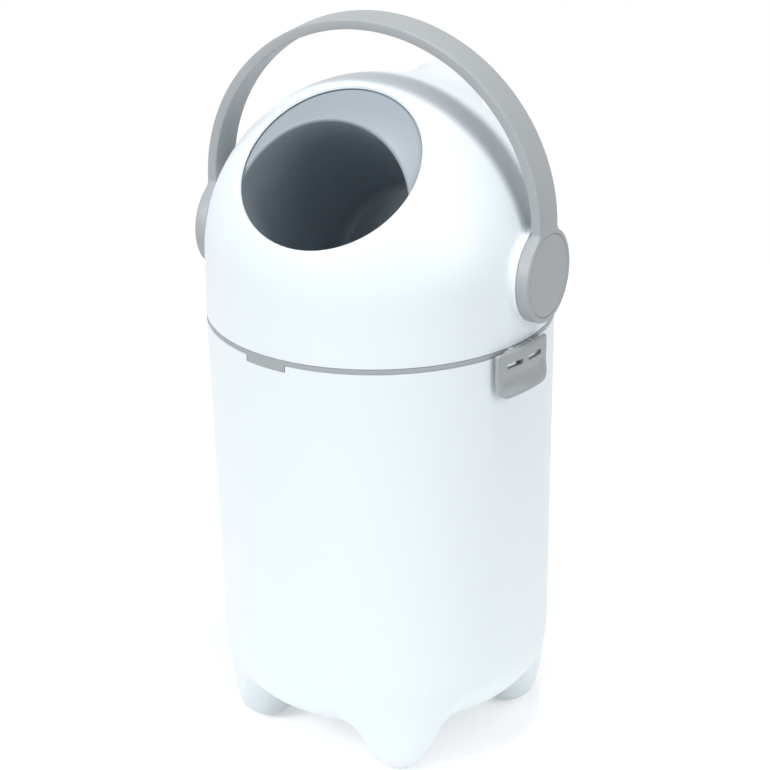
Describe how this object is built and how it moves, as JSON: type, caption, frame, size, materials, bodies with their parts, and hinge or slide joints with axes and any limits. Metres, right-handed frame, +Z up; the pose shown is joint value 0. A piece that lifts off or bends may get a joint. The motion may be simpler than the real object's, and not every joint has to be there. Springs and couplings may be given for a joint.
{
  "type": "nappy bin",
  "caption": "Footed round bin with a domed top, a handle-turned drum that drops nappies inside, and side flaps that latch the top.",
  "frame": {"origin": "floor under the middle of the bucket", "axes": "+Z up, the drum's pivot runs along X, and the dome's opening looks towards -Y"},
  "size_m": [0.29, 0.27, 0.5833],
  "materials": {
    "white_plastic": "smooth white moulded plastic with a soft gloss",
    "grey_plastic": "satin light grey moulded plastic",
    "drum_plastic": "smooth bluish grey moulded plastic with a soft gloss",
    "bush_plastic": "plain pale low-friction plastic",
    "soft_seal": "matt dark soft rubber",
    "screw_steel": "plain zinc-plated steel"
  },
  "bodies": {
    "bucket": {"bucket": "white_plastic"},
    "top": {"clamp_ring": "grey_plastic", "rim_seal": "soft_seal", "rotor_seal": "soft_seal", "dome": "white_plastic", "opening_seal": "soft_seal", "dome_screws": "screw_steel", "bush_left": "bush_plastic", "bush_right": "bush_plastic", "flap_pin_left": "screw_steel", "flap_pin_right": "screw_steel"},
    "rotor": {"rotor_shell": "drum_plastic", "rotor_back": "drum_plastic", "rotor_screws": "screw_steel", "trunnion_left": "bush_plastic", "trunnion_right": "bush_plastic", "handle": "grey_plastic", "hub_screw_left": "screw_steel", "hub_screw_right": "screw_steel", "hub_cap_left": "grey_plastic", "hub_cap_right": "grey_plastic"},
    "flap_left": {"flap_left": "grey_plastic"},
    "flap_right": {"flap_right": "grey_plastic"}
  },
  "joints": [
    {"name": "top_lift", "type": "slide", "parent": "bucket", "child": "top", "axis": [0, 0, 1], "range_m": [0, 0.12]},
    {"name": "rotor_turn", "type": "hinge", "parent": "top", "child": "rotor", "pos_m": [0, 0, 0.4003], "axis": [1, 0, 0], "range_deg": [-20, 115]},
    {"name": "flap_left_turn", "type": "hinge", "parent": "top", "child": "flap_left", "pos_m": [-0.13507, 0.02626, 0.351], "axis": [0.1908, 0.9816, 0], "range_deg": [0, 80]},
    {"name": "flap_right_turn", "type": "hinge", "parent": "top", "child": "flap_right", "pos_m": [0.13507, -0.02626, 0.351], "axis": [-0.1908, -0.9816, 0], "range_deg": [0, 80]}
  ]
}
